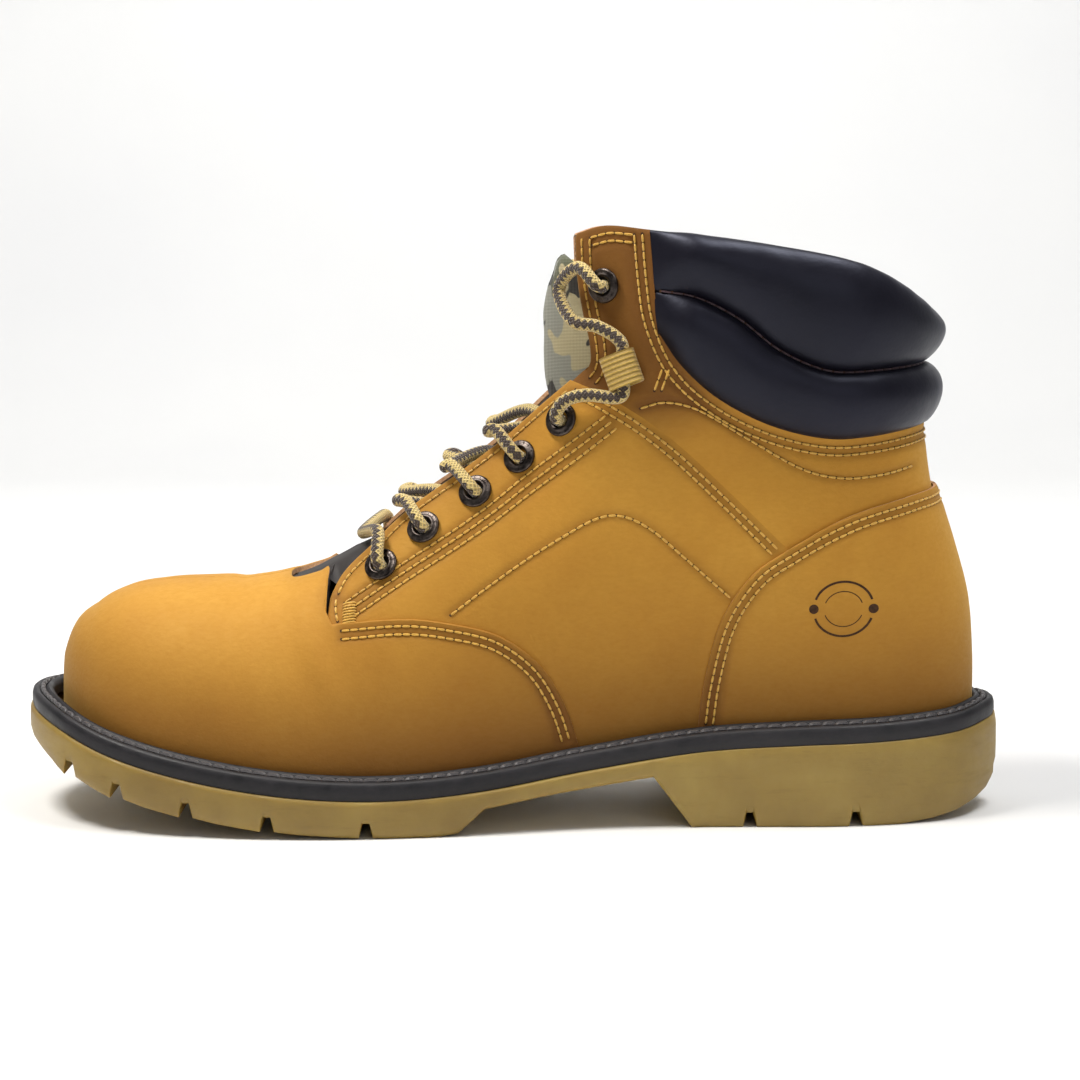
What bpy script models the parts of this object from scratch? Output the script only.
"""Left steel toe work boot: welted sole, steel cap, leather upper, padded collar, tongue, lace and footbed.

Frame: toe towards -X, heel towards +X, outer (lateral) side towards -Y, +Z up, sole resting on z = 0.
Lengths below are in millimetres and become metres where a mesh is made.

The upper's layers follow one surface, the outer face of the lining. A place on it is written as side-view
coordinates (x, z), and a layer is moved off it by an offset: negative inwards, positive outwards.
"""
import math
from functools import lru_cache

import bmesh
import bpy
import numpy as np

MM = 0.001
SHARP_ANGLE = 40          # degrees between faces that show an edge
LATERAL, MEDIAL = -1, 1

# ---------------------------------------------------------------- driving sizes
GAP = 0.3                 # clearance between pieces that touch on the real boot
LINING = (-3.2, -1.6)     # offsets of the lining's two faces
STEEL_CAP = (0.5, 2.0)
INTERLINING = (0.3, 1.7)
VAMP = (2.5, 4.2)
VAMP_GAPS = (1.3, 1.9)    # clearance along the seam and at its lower end
QUARTER_INNER = 1.0       # offset of the quarters' inner face
FRONT_QUARTER_OUTER, REAR_QUARTER_OUTER = 2.8, 2.5
HEEL_STIFFENER = (0.5, 2.1)
COUNTER_COVER = (2.6, 4.1)
ROLL_EDGE, LOWER_BULGE, UPPER_BULGE = 2.0, 6.0, 7.0      # the collar rolls' outer offset at a seam, and swell
CAP_END = -88             # rear edge of the steel cap
WELT_INSET = 1.2          # welt's outer edge, inside the outsole's outline
WELT_WIDTH = 6.4
WELT_HEIGHT = 5.6
FEATHER_INSET = 13.0      # lining's outer face, inside the outsole's outline
UPPER_START = 4.4         # upper's lower edge above the outsole's top
INSOLE_TOP = 4.1          # insole board's upper face above the outsole's top
LACE_DIAMETER = 3.4
EYELET_BORE, EYELET_BARREL, EYELET_FLANGE = 2.9, 3.5, 5.3
EYELET_HOLE = 3.8
EYELET_INNER_END, EYELET_STAND, FLANGE_THICKNESS = -2.8, 1.3, 0.8
EYELET_SEGMENTS, AGLET_SEGMENTS = 12, 8
CUTTER_REACH = 6.0
AGLET_PROFILE = [(1.9, 0), (1.9, 16), (1.4, 18)]          # (radius, distance from the lace's end)
AGLET_CLEARANCE = 0.4
LACE_POINT_SPACING = 2.0

# ---------------------------------------------------------------- outlines
OUTLINE = [(-156, 6), (-150.5, -17), (-134, -39), (-104, -51.5), (-62, -56), (-20, -52), (20, -43), (60, -39),
           (105, -38), (137, -29), (152, -13), (156, 0), (152, 14), (137, 30), (105, 38), (60, 37), (20, 36),
           (-20, 42), (-60, 52), (-98, 55.2), (-130.5, 48), (-149.5, 29)]
OUTSOLE_TOP = [(-156, 33), (-143, 30), (-124, 23.5), (-94, 16.5), (-64, 12.5), (-36, 11.5), (-9, 13.5),
               (27, 19), (58, 23.5), (89, 25.5), (120, 26.5), (141, 28), (156, 30)]
FOREFOOT_BOTTOM = [(-156, 24), (-150, 21.5), (-137, 15.5), (-121, 10.5), (-99, 6), (-76, 2.5), (-50, 0.5),
                   (-30, 0), (-15, 1.0)]
LUG_GROOVES = (-137, -121, -99, -74, -44)
HEEL_GROOVES = (74, 107)
GROOVE_TOP, GROOVE_MOUTH, GROOVE_DEPTH = 2.2, 4.3, 4.5

TIP_X, BACK_START, TOE_START = -139.5, 95.0, -95.0
TOE_POWER, HEEL_POWERS = 2.15, (2.2, 2.0)       # superellipse powers of the plan; the heel's at sole, at collar
BACK = [(20, 143.5), (50, 143.5), (69, 141.5), (85, 137), (101, 132), (120, 129), (140, 128), (160, 128),
        (190, 126)]
RIDGE = [(-139.5, 44), (-136.7, 52.5), (-130, 60.5), (-121.5, 65.5), (-110, 68), (-95, 69), (-75, 70.5),
         (-62, 75), (-52, 81), (-40, 90), (-25, 103), (-5, 120.5), (8, 137.5), (15, 165), (22, 210), (30, 270),
         (60, 400)]
FRONT = [(70, -170), (85, -80), (95, -52), (110, -22), (125, -2), (140, 11), (155, 14), (190, 14)]
FRONT_RADIUS = 40.0
SHAFT_HALF_WIDTH = [(30, 32), (60, 33.5), (90, 33), (115, 33), (140, 36.5), (165, 39), (190, 40)]
SECTION_POWER = 2.5
JOIN_POWER = 4.0
CENTRE_SPAN = (-136.0, 136.0)      # the middle line of the plan is followed between these x
NEARLY_ONE = 0.9985       # a place this close to an end of the surface lies on the boot's middle line

# ---------------------------------------------------------------- seams, on the surface in side view
FACING = [(-56, 69), (-52, 76), (-43, 84.5), (-30, 95.7), (-14, 107), (0.2, 118), (12.5, 129.5),
          (20, 136.5)]
SHAFT_FRONT = [(20, 136.5), (25, 141), (25.3, 148), (23.3, 157.5), (21.7, 168), (21, 181)]
VAMP_SEAM = [(-55, 61), (-34, 63.3), (-19, 62.3), (-3.4, 58.5), (9, 49.5), (16.5, 37.5), (21, 24.5)]
DIAGONAL = [(20, 136.5), (28.5, 133.3), (39, 127), (52, 117.3), (68, 102.5), (85, 86)]
COUNTER_EDGE = [(58, 29), (60.2, 45), (65, 64), (74, 78), (85, 86)]
COUNTER_TOP = [(85, 86), (103, 96), (120, 101)]
COLLAR_FRONT = [(45, 152), (44, 166), (42.5, 183)]
COLLAR_FRONT_LOWER = [(45, 152), (44.3, 158), (44, 164.7)]
COLLAR_FRONT_UPPER = [(44, 164.7), (43.4, 174), (42.5, 183)]
COLLAR_LOW = [(45, 152), (52, 141.5), (63.5, 131.5), (79, 123.7), (95.5, 119.7), (109, 120)]
COLLAR_WAVE = [(44, 164.7), (56, 162.7), (69, 156.3), (81.5, 146.8), (96.5, 140.6), (111.5, 140.6)]
COLLAR_RIM = [(42.5, 183), (57, 181.5), (81, 178.3), (101, 174.5), (112, 170), (121, 164)]
COUNTER_BACK, LOW_BACK, WAVE_BACK, RIM_BACK = 103, 123, 142, 157      # heights of the seams at the back
THROAT = [(-54.5, 79.35), (-56, 75.5), (-58, 69.5), (-57.2, 65), (-55, 61)]
EYELETS = [(-39, 79.2), (-25.9, 90.7), (-10, 101.9), (4.2, 112.9), (17.3, 125.3), (30, 167)]
LOOP_PLACE = (35.4, 141.4)
LOOP_CLEARANCE = 0.4


def hermite(points):
    """Return a smooth function through the points (x, y), with x rising."""
    xs, ys = np.array(points, float).T
    slopes = np.gradient(ys, xs)

    def value(x):
        x = np.clip(x, xs[0], xs[-1])
        i = np.clip(np.searchsorted(xs, x) - 1, 0, len(xs) - 2)
        step = xs[i + 1] - xs[i]
        t = (x - xs[i]) / step
        start = (1 + 2 * t) * (1 - t) ** 2 * ys[i] + t * (1 - t) ** 2 * step * slopes[i]
        end = t * t * (3 - 2 * t) * ys[i + 1] + t * t * (t - 1) * step * slopes[i + 1]
        return start + end
    return value


outsole_top = hermite(OUTSOLE_TOP)
forefoot_bottom = hermite(FOREFOOT_BOTTOM)
back_x = hermite(BACK)
ridge_z = hermite(RIDGE)
front_x = hermite(FRONT)
shaft_half_width = hermite(SHAFT_HALF_WIDTH)


def catmull(points, steps, closed=False):
    """Return a dense Catmull-Rom curve through points of any dimension."""
    points = [np.array(p, float) for p in points]
    count = len(points)
    if closed:
        padded = [points[-1]] + points + points[:2]
        spans = count
    else:
        padded = [2 * points[0] - points[1]] + points + [2 * points[-1] - points[-2]]
        spans = count - 1
    curve = []
    for i in range(spans):
        a, b, c, d = padded[i:i + 4]
        for k in range(steps):
            t = k / steps
            curve.append(0.5 * (2 * b + (c - a) * t + (2 * a - 5 * b + 4 * c - d) * t ** 2
                                + (3 * b - a - 3 * c + d) * t ** 3))
    if not closed:
        curve.append(points[-1])
    return np.array(curve)


def sample(curve, fractions):
    """Return places along a dense curve, at fractions of its length."""
    lengths = np.concatenate([[0], np.cumsum(np.linalg.norm(np.diff(curve, axis=0), axis=1))])
    wanted = np.asarray(fractions) * lengths[-1]
    return np.stack([np.interp(wanted, lengths, axis) for axis in curve.T], axis=-1)


# ---------------------------------------------------------------- sole plan
@lru_cache(maxsize=None)
def inset_outline(inset, steps=8):
    """Return the closed plan outline, moved inwards by inset."""
    curve = catmull(OUTLINE, steps, closed=True)
    along = np.roll(curve, -1, axis=0) - np.roll(curve, 1, axis=0)
    along /= np.linalg.norm(along, axis=1)[:, None]
    inwards = np.stack([-along[:, 1], along[:, 0]], axis=1)
    return curve + inset * inwards


@lru_cache(maxsize=None)
def plan_edges(inset):
    """Return the outline's lateral and medial edges as two lists of (x, y) from toe to heel."""
    curve = inset_outline(inset, 24)
    curve = np.roll(curve, -int(np.argmin(curve[:, 0])), axis=0)
    heel = int(np.argmax(curve[:, 0]))
    lateral = curve[:heel + 1]
    medial = np.concatenate([curve[heel:], curve[:1]])[::-1]
    return lateral, medial


def edge_y(x, inset, side):
    lateral, medial = plan_edges(inset)
    edge = lateral if side == LATERAL else medial
    return np.interp(x, edge[:, 0], edge[:, 1])


def plan_half_width(x):
    return 0.5 * (edge_y(x, FEATHER_INSET, MEDIAL) - edge_y(x, FEATHER_INSET, LATERAL))


def plan_centre(x):
    return 0.5 * (edge_y(x, FEATHER_INSET, MEDIAL) + edge_y(x, FEATHER_INSET, LATERAL))


# ---------------------------------------------------------------- the upper's surface
def smoothstep(value):
    value = np.clip(value, 0, 1)
    return value * value * (3 - 2 * value)


def feather_z(x):
    return outsole_top(x) + UPPER_START


def rise(x, z):
    """Return how far up the section a place is: 0 at the sole, 1 at the ridge."""
    return np.clip((z - feather_z(x)) / (ridge_z(x) - feather_z(x)), 0, 1)


def superellipse(along, power):
    return np.maximum(1 - along ** power, 0) ** (1 / power)


def lift(x, z, offset, side):
    """Return the 3-D places, in mm, of side-view places moved offset off the surface."""
    x, z, offset = (np.asarray(value, float) for value in (x, z, offset))
    toe = np.clip((TOE_START - x) / (TOE_START - TIP_X), 0, 1)
    heel = np.clip((x - BACK_START) / (back_x(z) - BACK_START), 0, 1)
    heel = np.where(heel > NEARLY_ONE, 1, heel)
    heel_power = HEEL_POWERS[0] + (HEEL_POWERS[1] - HEEL_POWERS[0]) * smoothstep((z - 60) / 90)
    closing = superellipse(toe, TOE_POWER) * superellipse(heel, heel_power)
    foot = plan_half_width(np.clip(x, TOE_START, BACK_START))
    blend = smoothstep((x + 50) / 70) * smoothstep((z - 35) / 55)
    base = foot + (shaft_half_width(z) - foot) * blend + offset
    up = rise(x, z)
    up = np.where(up > NEARLY_ONE, 1, up)
    section = superellipse(up, SECTION_POWER)
    forward = np.clip((front_x(z) + FRONT_RADIUS - x) / FRONT_RADIUS, 0, 1)
    front = np.sqrt(np.maximum(1 - forward ** 2, 0))
    floor = 1e-4
    joined = (np.maximum(section, floor) ** -JOIN_POWER + np.maximum(front, floor) ** -JOIN_POWER - 1)
    closed = np.where(np.minimum(section, front) < 2 * floor, 0, joined ** (-1 / JOIN_POWER))
    half = base * closing * closed
    moved_x = x - offset * toe + offset * heel - offset * forward
    y = plan_centre(np.clip(x, CENTRE_SPAN[0], CENTRE_SPAN[1])) + side * half
    return np.stack([moved_x, y, z + offset * up], axis=-1)


def to_angle(places):
    """Swap a side-view place's height for its angle round the section."""
    x, z = places[..., 0], places[..., 1]
    return np.stack([x, np.arcsin(rise(x, z) ** (SECTION_POWER / 2))], axis=-1)


def from_angle(places):
    x, angle = places[..., 0], places[..., 1]
    up = np.sin(np.clip(angle, 0, math.pi / 2)) ** (2 / SECTION_POWER)
    return np.stack([x, feather_z(x) + up * (ridge_z(x) - feather_z(x))], axis=-1)


# ---------------------------------------------------------------- meshes
def principled(name, colour, roughness, metallic=0.0):
    """Make a plain material from a linear colour."""
    material = bpy.data.materials.new(name)
    material.use_nodes = True
    shader = material.node_tree.nodes["Principled BSDF"]
    shader.inputs["Base Color"].default_value = (*colour, 1)
    shader.inputs["Roughness"].default_value = roughness
    shader.inputs["Metallic"].default_value = metallic
    return material


def make_object(name, vertices, faces, material, pivot=(0, 0, 0)):
    """Make a mesh object from mm vertices, with its origin at pivot and its faces pointing out."""
    pivot = np.array(pivot, float)
    mesh = bpy.data.meshes.new(name)
    shifted = (np.asarray(vertices, float) - pivot) * MM
    mesh.from_pydata([tuple(v) for v in shifted], [], faces)
    work = bmesh.new()
    work.from_mesh(mesh)
    bmesh.ops.triangulate(work, faces=work.faces, quad_method="SHORT_EDGE")
    bmesh.ops.recalc_face_normals(work, faces=work.faces)
    if work.calc_volume(signed=True) < 0:
        bmesh.ops.reverse_faces(work, faces=work.faces)
    work.to_mesh(mesh)
    work.free()
    mesh.shade_smooth()
    mesh.set_sharp_from_angle(angle=math.radians(SHARP_ANGLE))
    mesh.materials.append(material)
    thing = bpy.data.objects.new(name, mesh)
    thing.location = tuple(pivot * MM)
    bpy.context.scene.collection.objects.link(thing)
    return thing


def hide(thing):
    thing.hide_render = True
    thing.display_type = "WIRE"


def chain(curves, cells):
    """Join curves end to end, sampling each into its own number of cells."""
    pieces = [sample(curve, np.linspace(0, 1, count + 1))[:-1] for curve, count in zip(curves, cells)]
    return np.concatenate(pieces + [curves[-1][-1:]])


def coons(low, high, start, end):
    """Fill the patch between four sampled sides: low and high from start to end."""
    u = np.linspace(0, 1, len(low))[:, None, None]
    v = np.linspace(0, 1, len(start))[None, :, None]
    ruled_up = (1 - v) * low[:, None] + v * high[:, None]
    ruled_along = (1 - u) * start[None] + u * end[None]
    corners = ((1 - u) * (1 - v) * low[0] + u * (1 - v) * low[-1]
               + (1 - u) * v * high[0] + u * v * high[-1])
    return ruled_up + ruled_along - corners


def pull_in(grid, sides, gap=GAP):
    """Move the named sides of a patch inwards by gap."""
    grid = grid.copy()
    spans = {"start": (np.s_[0], np.s_[1]), "end": (np.s_[-1], np.s_[-2]),
             "low": (np.s_[:, 0], np.s_[:, 1]), "high": (np.s_[:, -1], np.s_[:, -2])}
    for side in sides:
        edge, inner = spans[side]
        inwards = grid[inner] - grid[edge]
        grid[edge] += gap * inwards / np.maximum(np.linalg.norm(inwards, axis=-1, keepdims=True), 1e-6)
    return grid


def patch(low, high, start, end, cells, rows, gaps=("start", "end", "low", "high")):
    """Return a side-view grid between two chains of curves and two end curves."""
    fractions = np.linspace(0, 1, rows + 1)
    grid = coons(chain(low, cells), chain(high, cells), sample(start, fractions), sample(end, fractions))
    return pull_in(grid, gaps)


def angle_patch(low, high, start, end, cells, rows, gaps=()):
    """Return a grid like patch, spaced by angle so that it closes evenly over the ridge."""
    curves = [[to_angle(curve) for curve in side] for side in (low, high)]
    fractions = np.linspace(0, 1, rows + 1)
    ends = [sample(to_angle(curve), fractions) for curve in (start, end)]
    grid = coons(chain(curves[0], cells), chain(curves[1], cells), *ends)
    return pull_in(from_angle(grid), gaps)


def sheet(name, grid, inner, outer, material, sides=(LATERAL, MEDIAL), pivot=(0, 0, 0)):
    """Make one closed sheet over a side-view grid, from offset inner to offset outer.

    The offsets are numbers, or arrays with one value for each grid place. Where both sides of the boot meet
    on the ridge, the toe or the back of the heel, their edges are welded. A sheet on one side only stays a
    little outwards of the middle line, so that it clears its neighbour across the back seam.
    """
    keys, faces = {}, []
    places = {offset: [] for offset in ("inner", "outer")}
    for side in sides:
        apart = (0, side * GAP * (len(sides) == 1), 0)
        outside = lift(grid[..., 0], grid[..., 1], outer, side) + apart
        inside = lift(grid[..., 0], grid[..., 1], inner, side) + apart
        middle = np.abs(lift(grid[..., 0], grid[..., 1], outer, LATERAL)
                        - lift(grid[..., 0], grid[..., 1], outer, MEDIAL)).max(axis=-1) < 0.005
        index = np.zeros(grid.shape[:2], int)
        for i, j in np.ndindex(*index.shape):
            key = tuple(np.round(outside[i, j], 2))
            if key not in keys:
                keys[key] = len(keys)
                places["outer"].append(outside[i, j])
                places["inner"].append(inside[i, j])
            index[i, j] = keys[key]
        for i in range(index.shape[0] - 1):
            for j in range(index.shape[1] - 1):
                corners = [(i, j), (i + 1, j), (i + 1, j + 1), (i, j + 1)]
                on_middle = [bool(middle[c]) for c in corners]
                if on_middle.count(True) == 3:
                    first = on_middle.index(False)
                    corners = corners[first:] + corners[:first]
                    rings = [corners[:3], [corners[0]] + corners[2:]]
                else:
                    rings = [corners]
                for ring in rings:
                    ring = [int(index[c]) for c in ring]
                    faces.append(ring if side == LATERAL else ring[::-1])
    count = len(keys)
    rims = {(a, b) for ring in faces for a, b in zip(ring, ring[1:] + ring[:1])}
    walls = [[b, a, a + count, b + count] for a, b in rims if (b, a) not in rims]
    backs = [[v + count for v in reversed(ring)] for ring in faces]
    vertices = places["outer"] + places["inner"]
    return make_object(name, vertices, faces + backs + sorted(walls), material, pivot)


# ---------------------------------------------------------------- sole pieces
def slab(name, stations, inset, low, high, material, pivot=(0, 0, 0)):
    """Make a solid across the boot's width, with bottom and top heights given at each station in x."""
    vertices = []
    for x, z_low, z_high in zip(stations, low, high):
        y_lateral, y_medial = edge_y(x, inset, LATERAL), edge_y(x, inset, MEDIAL)
        vertices += [(x, y_lateral, z_high), (x, y_lateral, z_low)]
        vertices += [(x, y_medial, z_low), (x, y_medial, z_high)]
    faces = [(0, 1, 2, 3), tuple(len(vertices) - k for k in (1, 2, 3, 4))]
    for start in range(0, len(vertices) - 4, 4):
        for k in range(4):
            following = (k + 1) % 4
            faces.append((start + k, start + 4 + k, start + 4 + following, start + following))
    return make_object(name, vertices, faces, material, pivot)


def round_stations(first, last, count):
    """Return x values that crowd together towards both ends, where the plan is round."""
    turns = (1 - np.cos(np.linspace(0, math.pi, count))) / 2
    return first + (last - first) * turns


def groove(x, bottom):
    """Return the four side-view corners of one tread groove."""
    half_mouth, half_top = GROOVE_MOUTH / 2, GROOVE_TOP / 2
    return [(x - half_mouth, bottom), (x - half_top, bottom + GROOVE_DEPTH),
            (x + half_top, bottom + GROOVE_DEPTH), (x + half_mouth, bottom)]


def outsole_profile():
    """Return the outsole's bottom line from toe to heel, with its grooves, waist and heel block."""
    profile = [(x, float(forefoot_bottom(x))) for x in (-155.6, -154.5, -152.5, -149, -144)]
    for x in LUG_GROOVES:
        profile += groove(x, float(forefoot_bottom(x)))
        if x < LUG_GROOVES[-1]:
            profile.append((x + 9, float(forefoot_bottom(x + 9))))
    profile += [(-39, 0), (-23, 0), (-16, 0.9), (-8, 8), (10, 11), (27, 13.5), (44, 16), (53, 4), (56, 0)]
    for x in HEEL_GROOVES:
        profile += groove(x, 0)
        profile.append((x + 14, 0))
    return profile + [(132, 1.2), (140, 2.8), (147, 5), (151.5, 7), (154.3, 8.6), (155.6, 9.4)]


def build_outsole(material):
    profile = outsole_profile()
    stations = [x for x, z in profile]
    slab("outsole", stations, 0.0, [z for x, z in profile], outsole_top(stations), material)


def build_welt(material):
    """A rectangular strip round the whole outline, with a low rib along its inner edge."""
    rib_width, rib_height = 2.0, 1.2
    insets = (WELT_INSET, WELT_INSET, WELT_INSET + WELT_WIDTH, WELT_INSET + WELT_WIDTH,
              WELT_INSET + WELT_WIDTH - rib_width, WELT_INSET + WELT_WIDTH - rib_width)
    heights = (WELT_HEIGHT, GAP, GAP, WELT_HEIGHT + rib_height, WELT_HEIGHT + rib_height, WELT_HEIGHT)
    rings = [inset_outline(inset, 3) for inset in insets]
    count, corners = len(rings[0]), len(insets)
    vertices = [(*ring[i], float(outsole_top(ring[i][0])) + height)
                for i in range(count) for ring, height in zip(rings, heights)]
    faces = []
    for i in range(count):
        here, there = i * corners, (i + 1) % count * corners
        for k in range(corners):
            following = (k + 1) % corners
            faces.append((here + k, there + k, there + following, here + following))
    make_object("welt", vertices, faces, material)


def build_insole_pieces(board, cork, steel, foam):
    """Board over the whole foot, cork under the ball, steel shank in the waist, cushion under the heel."""
    board_inset, fill_inset, fill_top = 17.0, 9.0, 2.0
    lateral = plan_edges(board_inset)[0]
    stations = round_stations(lateral[0, 0] + 0.4, lateral[-1, 0] - 0.4, 24)
    top = outsole_top(stations)
    slab("insole_board", stations, board_inset, top + fill_top + GAP, top + INSOLE_TOP, board)
    for name, first, last, inset, material in (("cork_filler", -144, -50, fill_inset, cork),
                                               ("heel_cushion", 84, 138, fill_inset + 4, foam)):
        stations = np.linspace(first, last, 9)
        top = outsole_top(stations)
        slab(name, stations, inset, top + GAP, top + fill_top, material)
    stations = np.linspace(-46, 80, 10)
    vertices = []
    for x in stations:
        low = float(outsole_top(x)) + GAP
        vertices += [(x, y, low + up) for y, up in ((-8, 0), (8, 0), (8, 1.3), (0, 1.7), (-8, 1.3))]
    faces = [tuple(range(5)), tuple(reversed(range(len(vertices) - 5, len(vertices))))]
    for start in range(0, len(vertices) - 5, 5):
        faces += [(start + k, start + 5 + k, start + 5 + (k + 1) % 5, start + (k + 1) % 5) for k in range(5)]
    make_object("steel_shank", vertices, faces, steel)


def build_footbed(material):
    """A removable moulded footbed, thicker under the heel. It lifts about its front lower edge."""
    inset = 18.5
    lateral = plan_edges(inset)[0]
    stations = round_stations(lateral[0, 0] + 7.5, lateral[-1, 0] - 0.4, 22)
    low = outsole_top(stations) + INSOLE_TOP + GAP
    thickness = 3.0 + 2.0 * smoothstep((stations + 20) / 90)
    pivot = (stations[0], 0, low[0])
    slab("footbed", stations, inset, low, low + thickness, material, pivot)


# ---------------------------------------------------------------- upper pieces
def feather(first, last):
    """Return the surface's lower edge in side view between two x values."""
    xs = np.linspace(first, last, 40)
    return np.stack([xs, feather_z(xs)], axis=1)


def ridge(first, last):
    xs = first + (last - first) * np.linspace(0, 1, 60) ** 1.5
    return np.stack([xs, ridge_z(xs)], axis=1)


def section_line(x, low_z, high_z):
    return np.stack([np.full(20, x), np.linspace(low_z, high_z, 20)], axis=1)


def back_line(low_z, high_z):
    zs = np.linspace(low_z, high_z, 30)
    return np.stack([back_x(zs), zs], axis=1)


def curve(points, back_height=None):
    """Return a dense curve through points, ending on the back line where back_height is given."""
    if back_height is not None:
        points = points + [(float(back_x(back_height)), back_height)]
    return catmull(points, 12)


def forefoot_grids():
    """Return the grid under the steel cap, and the one from the cap to the vamp's throat and seam."""
    rows, seam_end = 8, 8
    throat, seam = curve(THROAT), curve(VAMP_SEAM)
    tip = section_line(TIP_X, feather_z(TIP_X), ridge_z(TIP_X))
    cut = section_line(CAP_END, feather_z(CAP_END), ridge_z(CAP_END))
    front = angle_patch([feather(TIP_X, CAP_END)], [ridge(TIP_X, CAP_END)], tip, cut, [8], rows)
    low = [feather(CAP_END, -66), feather(-66, -52), feather(-52, 21)]
    high = [ridge(CAP_END, THROAT[0][0]), throat, seam[:-seam_end]]
    rear = angle_patch(low, high, cut, seam[:-seam_end - 2:-1], [3, 3, 7], rows)
    rear = np.concatenate([rear[:4], pull_in(rear[4:], ("high",), VAMP_GAPS[0])])
    return front, rear


def build_forefoot(leather, steel, felt, lining):
    """Vamp over steel cap and interlining, with the vamp lining inside."""
    front, rear = forefoot_grids()
    whole = np.concatenate([front[:-1], rear])
    sheet("steel_toe_cap", pull_in(front, ("end",)), *STEEL_CAP, steel)
    sheet("vamp_interlining", pull_in(pull_in(rear, ("end",), 2.5), ("start",)), *INTERLINING, felt)
    sheet("vamp", pull_in(whole, ("end",), VAMP_GAPS[1]), *VAMP, leather)
    sheet("vamp_lining", pull_in(whole, ("end",), 0.5), *LINING, lining)


def build_quarters(leather, lining):
    """Front quarters with the facings, rear quarters with the shaft tabs, and the quarter lining."""
    facing, shaft_front = curve(FACING), curve(SHAFT_FRONT)
    diagonal, collar_front, collar_low = curve(DIAGONAL), curve(COLLAR_FRONT), curve(COLLAR_LOW, LOW_BACK)
    seam, counter_edge, counter_top = curve(VAMP_SEAM), curve(COUNTER_EDGE), curve(COUNTER_TOP, COUNTER_BACK)
    facing_end = curve([(-55, 61), (-56, 65), (-56, 69)])
    half = len(collar_low) // 2 + 1
    front_grid = patch([seam, feather(21, 59)], [facing, diagonal], facing_end, counter_edge, [15, 4], 7)
    rim = curve([(21, 181), (30, 184), (42.5, 183)])
    back = back_line(COUNTER_BACK, LOW_BACK)
    rear_grid = patch([shaft_front[::-1], diagonal, counter_top],
                      [collar_front[::-1], collar_low[:half], collar_low[half - 1:]], rim, back, [4, 5, 5], 3,
                      ("start", "low", "high"))
    for name, side in (("lateral", LATERAL), ("medial", MEDIAL)):
        sheet("front_quarter_" + name, front_grid, QUARTER_INNER, FRONT_QUARTER_OUTER, leather, [side])
        sheet("rear_quarter_" + name, rear_grid, QUARTER_INNER, REAR_QUARTER_OUTER, leather, [side])
    low = [np.concatenate([seam, feather(21, 143.5)[1:]])]
    high = [np.concatenate([rim, curve(COLLAR_RIM, RIM_BACK)[1:]])]
    start = np.concatenate([facing_end, facing[1:], shaft_front[1:]])
    end = back_line(float(feather_z(143.5)), RIM_BACK)
    lining_grid = patch(low, high, start, end, [20], 12, ("start", "low"))
    sheet("quarter_lining", lining_grid, *LINING, lining)


def build_heel(leather, board):
    """Counter cover over the heel stiffener, both wrapping round the back of the heel."""
    low = [feather(59, 143.5)]
    high = [curve(COUNTER_TOP, COUNTER_BACK)]
    end = back_line(float(feather_z(143.5)), COUNTER_BACK)
    grid = patch(low, high, curve(COUNTER_EDGE), end, [9], 6, ("start", "high"))
    sheet("heel_counter_cover", grid, *COUNTER_COVER, leather)
    sheet("heel_stiffener", pull_in(grid, ("start", "high"), 2.0), *HEEL_STIFFENER, board)


def pad_offsets(grid, bulge):
    """Return outer offsets for a roll that swells between its two seams."""
    across = np.sin(np.linspace(0, math.pi, grid.shape[1])) ** 0.6
    along = smoothstep(np.linspace(0, 1, grid.shape[0]) * 6 + 0.35)
    return ROLL_EDGE + bulge * across[None, :] * along[:, None]


def build_collar(padding):
    """Two padded rolls round the top of the shaft, parted by a waved seam."""
    wave, low, rim = curve(COLLAR_WAVE, WAVE_BACK), curve(COLLAR_LOW, LOW_BACK), curve(COLLAR_RIM, RIM_BACK)
    low_front, high_front = curve(COLLAR_FRONT_LOWER), curve(COLLAR_FRONT_UPPER)
    low_end, high_end = back_line(LOW_BACK, WAVE_BACK), back_line(WAVE_BACK, RIM_BACK)
    lower = patch([low], [wave], low_front, low_end, [13], 5, ("start", "low", "high"))
    upper = patch([wave], [rim], high_front, high_end, [13], 5, ("start", "low", "high"))
    sheet("collar_roll_lower", lower, GAP, pad_offsets(lower, LOWER_BULGE), padding)
    sheet("collar_roll_upper", upper, GAP, pad_offsets(upper, UPPER_BULGE), padding)


# ---------------------------------------------------------------- tongue
TONGUE_BASE = (-50, 76)
TONGUE_HEIGHTS = (80, 176)
TONGUE_REACH = 17.0                   # from its middle line to its edge, in side view
TONGUE_FLANK, TONGUE_THICKNESS = -9.4, 3.6
TONGUE_MIDDLE = [(80, -12.2), (95, -12.2), (120, -12.4), (128, -12.2), (133, -7), (138, -1), (143, 2.2),
                 (150, 3.6), (160, 3.6), (176, 1.8)]


def middle_x(z):
    """Return where the surface closes on the middle line, at the front, at height z."""
    xs = np.linspace(-70, 30, 200)
    return np.maximum(np.interp(z, ridge_z(xs), xs), front_x(z))


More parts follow.
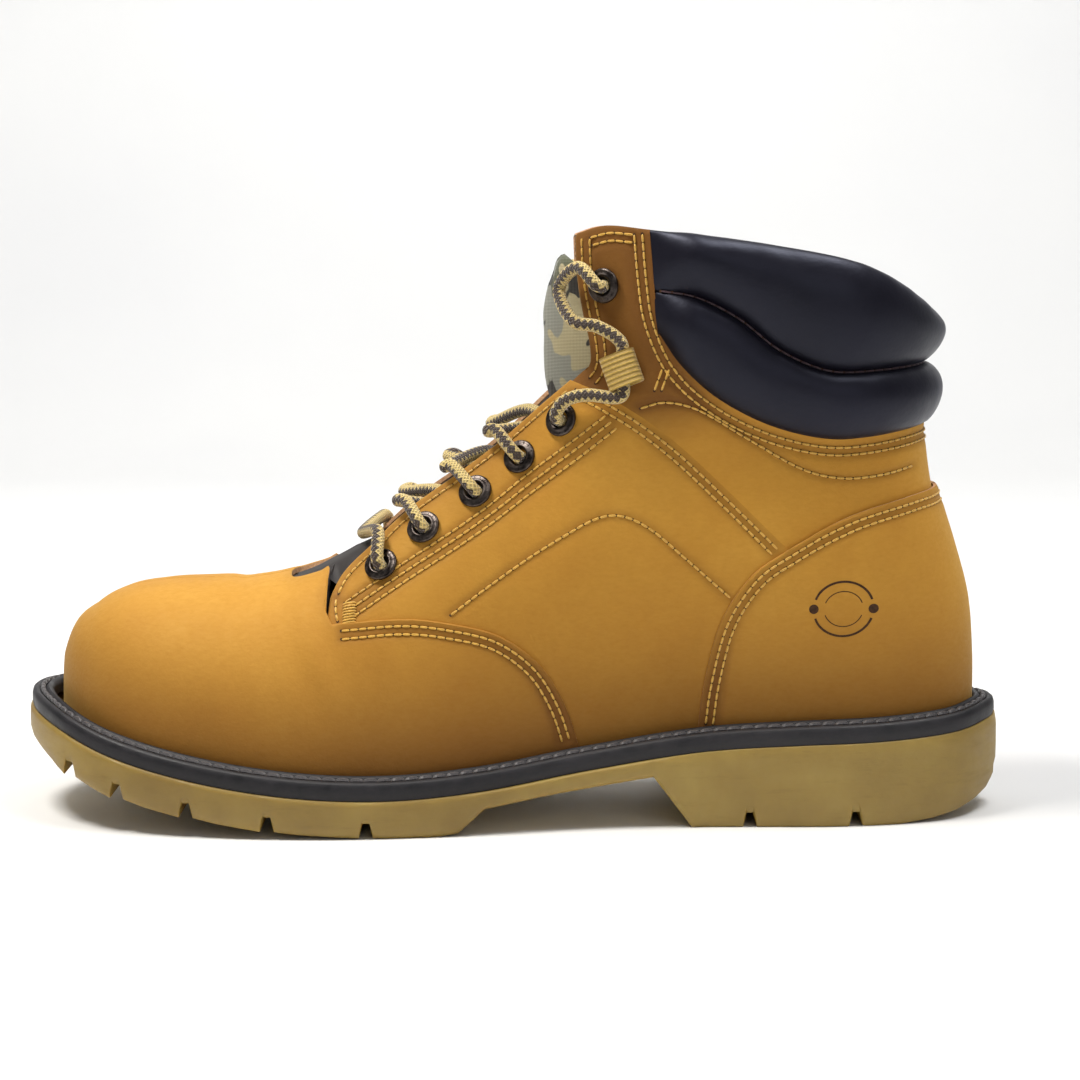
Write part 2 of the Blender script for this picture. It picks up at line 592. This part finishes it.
def build_tongue(material):
    """A padded tongue under the facings, which swings back into the shaft about its stitched base."""
    heights = np.linspace(*TONGUE_HEIGHTS, 13)
    across = np.linspace(0, 1, 6)
    grid = np.zeros((len(heights), len(across), 2))
    outer = np.zeros(grid.shape[:2])
    for i, z in enumerate(heights):
        lean = smoothstep((z - 110) / 40)
        reach = TONGUE_REACH * across ** 2
        grid[i, :, 0] = middle_x(z) + reach * (0.75 + 0.25 * lean)
        grid[i, :, 1] = z - reach * 0.66 * (1 - lean)
        middle = float(hermite(TONGUE_MIDDLE)(z))
        outer[i] = TONGUE_FLANK + (middle - TONGUE_FLANK) * (1 - smoothstep(across * 1.6))
    sheet("tongue", grid, outer - TONGUE_THICKNESS, outer, material,
          pivot=(TONGUE_BASE[0], 0, TONGUE_BASE[1]))


# ---------------------------------------------------------------- eyelets, loops and lace
def surface_frame(place, side):
    """Return the point, outward normal, upward and forward directions of the surface at a place, in mm."""
    x, z = place
    point = lift(x, z, 0.0, side)
    along_x = lift(x + 0.5, z, 0.0, side) - lift(x - 0.5, z, 0.0, side)
    along_z = lift(x, z + 0.5, 0.0, side) - lift(x, z - 0.5, 0.0, side)
    normal = np.cross(along_x, along_z) * -side
    normal /= np.linalg.norm(normal)
    up = along_z / np.linalg.norm(along_z)
    forward = np.cross(normal, up)
    return point, normal, up, forward / np.linalg.norm(forward)


def ring_solid(profile, segments, point, normal, start):
    """Turn a closed (radius, height) profile about a normal; the first segment points towards start."""
    side = np.cross(normal, start)
    vertices, count = [], len(profile)
    for k in range(segments):
        angle = 2 * math.pi * k / segments
        outwards = math.cos(angle) * start + math.sin(angle) * side
        vertices += [point + radius * outwards + height * normal for radius, height in profile]
    faces = []
    for k in range(segments):
        here, there = k * count, (k + 1) % segments * count
        for j in range(count):
            following = (j + 1) % count
            faces.append((here + j, there + j, there + following, here + following))
    return vertices, faces


def perpendicular(normal, hint):
    across = hint - np.dot(hint, normal) * normal
    return across / np.linalg.norm(across)


def leather_top(index):
    """Return the offset of the leather's outer face round an eyelet."""
    return FRONT_QUARTER_OUTER if index < 5 else REAR_QUARTER_OUTER


def build_eyelets(metal):
    """A turned eyelet in every hole, with its flange outside and its barrel through leather and lining."""
    for side, name in ((LATERAL, "lateral"), (MEDIAL, "medial")):
        for index, place in enumerate(EYELETS):
            point, normal, up, forward = surface_frame(place, side)
            top = leather_top(index) + EYELET_STAND
            profile = [(EYELET_BORE, EYELET_INNER_END), (EYELET_BARREL, EYELET_INNER_END),
                       (EYELET_BARREL, top), (EYELET_FLANGE, top), (EYELET_FLANGE - 0.5, top + FLANGE_THICKNESS),
                       (EYELET_BORE + 0.3, top + FLANGE_THICKNESS)]
            vertices, faces = ring_solid(profile, EYELET_SEGMENTS, point, normal, up)
            make_object("eyelet_%s_%d" % (name, index + 1), vertices, faces, metal)


def cut_eyelet_holes():
    """Cut the eyelet holes through leather and lining with one hidden cutter for each piece."""
    pieces = {"front_quarter_lateral": [(LATERAL, i) for i in range(5)],
              "front_quarter_medial": [(MEDIAL, i) for i in range(5)],
              "rear_quarter_lateral": [(LATERAL, 5)],
              "rear_quarter_medial": [(MEDIAL, 5)],
              "quarter_lining": [(side, i) for side in (LATERAL, MEDIAL) for i in range(6)]}
    count = EYELET_SEGMENTS
    for name, holes in pieces.items():
        vertices, faces = [], []
        for side, index in holes:
            point, normal, up, forward = surface_frame(EYELETS[index], side)
            base = len(vertices)
            ring = [point + EYELET_HOLE * (math.cos(a) * up + math.sin(a) * forward)
                    for a in np.linspace(0, 2 * math.pi, count + 1)[:-1]]
            vertices += [p - CUTTER_REACH * normal for p in ring] + [p + CUTTER_REACH * normal for p in ring]
            faces += [[base + k for k in range(count)], [base + 2 * count - 1 - k for k in range(count)]]
            faces += [[base + k, base + count + k, base + count + (k + 1) % count, base + (k + 1) % count]
                      for k in range(count)]
        cutter = make_object("cutter_" + name, vertices, faces, bpy.data.materials["leather"])
        hide(cutter)
        modifier = bpy.data.objects[name].modifiers.new("eyelet_holes", "BOOLEAN")
        modifier.operation = "DIFFERENCE"
        modifier.solver = "EXACT"
        modifier.object = cutter


def build_webbing_loops(webbing):
    """A flattened ring of webbing on each side, which guides the lace up the front of the shaft."""
    half_width, half_depth, thickness, length = 7.0, 3.4, 1.1, 9.0
    ring = [(-half_width, 0), (-half_width + 1.5, -half_depth), (half_width - 1.5, -half_depth),
            (half_width, 0), (half_width - 1.5, half_depth), (-half_width + 1.5, half_depth)]
    scale_across, scale_depth = 1 - 1.4 * thickness / half_width, 1 - thickness / half_depth
    for side, name in ((LATERAL, "lateral"), (MEDIAL, "medial")):
        point, normal, up, forward = surface_frame(LOOP_PLACE, side)
        centre = point + (FRONT_QUARTER_OUTER + LOOP_CLEARANCE + half_depth) * normal
        vertices = []
        for shift in (-length / 2, length / 2):
            for across, depth in ring:
                vertices.append(centre + across * forward + depth * normal + shift * up)
            for across, depth in ring:
                vertices.append(centre + scale_across * across * forward + scale_depth * depth * normal
                                + shift * up)
        faces = []
        for k in range(6):
            n = (k + 1) % 6
            faces += [[k, n, 12 + n, 12 + k], [6 + n, 6 + k, 18 + k, 18 + n],
                      [n, k, 6 + k, 6 + n], [12 + k, 12 + n, 18 + n, 18 + k]]
        make_object("webbing_loop_" + name, vertices, faces, webbing)


def off_surface(place, offset, side, shift=(0, 0)):
    return lift(place[0] + shift[0], place[1] + shift[1], offset, side)


def on_axis(place, offset, side):
    """Return a point on an eyelet's axis."""
    point, normal, up, forward = surface_frame(place, side)
    return point + offset * normal


BAR_MIDDLE_X = -47.0
EDGE_SHIFT = (-6.2, 3.6)        # from an eyelet to the facing's edge, in side view
ABOVE_EYELET, OUTSIDE, OVER_EDGE = 6.4, 7.5, 5.6
BELOW_EYELET, UNDER, CROSS_HIGH, CROSS_LOW = -3.4, -6.0, -1.6, -6.4


def lace_side(side):
    """Return the route from the middle of the lowest bar to the lace's end, starting on one side.

    The strand dips into its lowest eyelet, then comes up from beneath through the next eyelet on the other
    side, crosses back, and so on to the fifth eyelet. From there it runs up the outside through the webbing
    loop, makes a slack bow forward, and goes through the top eyelet into the shaft, where its end hangs.
    """
    first = EYELETS[0]
    route = [off_surface(first, OVER_EDGE, side, (-4.0, 6.0)),
             off_surface(first, OUTSIDE + 0.8, side, (-2.2, 3.8)),
             on_axis(first, ABOVE_EYELET, side), on_axis(first, BELOW_EYELET, side)]
    here = side
    for index in range(1, 5):
        place = EYELETS[index]
        cross = CROSS_HIGH if side == LATERAL else CROSS_LOW
        below = EYELETS[index - 1]
        if index == 1:
            route.append(off_surface(below, UNDER, here, (-0.5, 3.5)))
        middle_x = (below[0] + place[0]) / 2 - 6.75
        level = cross if index > 1 else cross - 1.2
        route.append(lift(middle_x, ridge_z(middle_x), level, side))
        here = -here
        route += [off_surface(place, UNDER + 0.2, here, (EDGE_SHIFT[0], EDGE_SHIFT[1] - 1.8)),
                  off_surface(place, UNDER, here, (-2.2, 1.5)), on_axis(place, BELOW_EYELET, here),
                  on_axis(place, ABOVE_EYELET, here)]
        if index < 4:
            route += [off_surface(place, OUTSIDE, here, (-4.0, 2.4)),
                      off_surface(place, OVER_EDGE, here, EDGE_SHIFT)]
    return route, here


def lace_top(side):
    """Return the route from the fifth eyelet through the webbing loop and the top eyelet to the end."""
    fifth, top = EYELETS[4], EYELETS[5]
    point, normal, up, forward = surface_frame(LOOP_PLACE, side)
    loop_centre = point + (2.8 + 3.4) * normal
    ahead = forward if forward[0] < 0 else -forward
    return [off_surface(fifth, OUTSIDE + 0.4, side, (3.0, 2.0)),
            off_surface(fifth, OUTSIDE + 0.4, side, (9, 5)),
            loop_centre - 8 * up, loop_centre, loop_centre + 8 * up,
            loop_centre + 13 * up + 7 * ahead + 1.0 * normal,
            loop_centre + 15 * up + 15 * ahead + 1.5 * normal,
            off_surface((21, 160), 7.5, side), off_surface(top, OUTSIDE, side, (-4.2, 0.5)),
            on_axis(top, ABOVE_EYELET, side), on_axis(top, BELOW_EYELET, side),
            off_surface(top, -6.4, side, (3.5, -3.0)), off_surface((38, 158), -6.2, side),
            off_surface((45, 146), -6.2, side), off_surface((50, 130), -6.2, side),
            off_surface((52, 116), -6.2, side), off_surface((53, 104), -6.2, side)]


def lace_route():
    """Return the whole lace's route from its lateral-side end to the other end."""
    halves = []
    for side in (LATERAL, MEDIAL):
        laced, here = lace_side(side)
        halves.append(laced + lace_top(here))
    return halves[0][::-1] + [lift(BAR_MIDDLE_X, ridge_z(BAR_MIDDLE_X), 3.5, LATERAL)] + halves[1]


def drop_close(points, least):
    """Leave out points nearer than least to the one before."""
    kept = [points[0]]
    for point in points[1:]:
        if np.linalg.norm(point - kept[-1]) >= least:
            kept.append(point)
    return kept


def build_lace(cord, metal):
    """The lace as one tube, and an aglet on each end."""
    route = lace_route()
    spline_points = drop_close(route, LACE_POINT_SPACING)
    data = bpy.data.curves.new("lace", "CURVE")
    data.dimensions = "3D"
    data.bevel_depth = LACE_DIAMETER / 2 * MM
    data.bevel_resolution = 2
    data.use_fill_caps = True
    spline = data.splines.new("POLY")
    spline.points.add(len(spline_points) - 1)
    for place, point in zip(spline.points, spline_points):
        place.co = (*(point * MM), 1)
    data.materials.append(cord)
    lace = bpy.data.objects.new("lace", data)
    bpy.context.scene.collection.objects.link(lace)
    for name, end, before in (("lateral", route[0], route[1]), ("medial", route[-1], route[-2])):
        along = (end - before) / np.linalg.norm(end - before)
        base = end + AGLET_CLEARANCE * along
        make_capped_turn("aglet_" + name, AGLET_PROFILE, AGLET_SEGMENTS, base, along, metal)


def make_capped_turn(name, profile, segments, point, axis, material):
    """Turn an open profile about an axis and close both ends with flat caps."""
    start = perpendicular(axis, np.array([0.3, 1.0, 0.2]))
    side = np.cross(axis, start)
    vertices, count = [], len(profile)
    for radius, height in profile:
        for k in range(segments):
            angle = 2 * math.pi * k / segments
            outwards = math.cos(angle) * start + math.sin(angle) * side
            vertices.append(point + radius * outwards + height * axis)
    faces = [list(range(segments))[::-1], [(count - 1) * segments + k for k in range(segments)]]
    for level in range(count - 1):
        for k in range(segments):
            n = (k + 1) % segments
            faces.append([level * segments + k, level * segments + n, (level + 1) * segments + n,
                          (level + 1) * segments + k])
    make_object(name, vertices, faces, material)


def clear_scene():
    for thing in list(bpy.data.objects):
        bpy.data.objects.remove(thing, do_unlink=True)


def main():
    clear_scene()
    leather = principled("leather", (0.48, 0.24, 0.04), 0.75)
    padding = principled("collar_leather", (0.02, 0.02, 0.035), 0.45)
    lining = principled("lining", (0.12, 0.10, 0.08), 0.9)
    steel = principled("steel", (0.55, 0.56, 0.58), 0.35, 1.0)
    felt = principled("felt", (0.45, 0.40, 0.32), 0.95)
    board = principled("fibreboard", (0.35, 0.26, 0.16), 0.85)
    gum = principled("gum_rubber", (0.33, 0.26, 0.06), 0.5)
    build_outsole(gum)
    build_welt(principled("welt_rubber", (0.03, 0.03, 0.035), 0.6))
    build_insole_pieces(board, principled("cork", (0.4, 0.27, 0.13), 0.9), steel,
                        principled("foam", (0.2, 0.2, 0.2), 0.9))
    build_footbed(principled("footbed_fabric", (0.05, 0.05, 0.055), 0.9))
    build_forefoot(leather, steel, felt, lining)
    build_quarters(leather, lining)
    build_heel(leather, board)
    build_collar(padding)
    build_tongue(principled("camo_fabric", (0.2, 0.19, 0.11), 0.9))
    metal = principled("eyelet_metal", (0.12, 0.11, 0.10), 0.35, 1.0)
    build_eyelets(metal)
    cut_eyelet_holes()
    build_webbing_loops(principled("webbing", (0.5, 0.36, 0.06), 0.8))
    build_lace(principled("lace_cord", (0.62, 0.5, 0.22), 0.8), metal)


main()
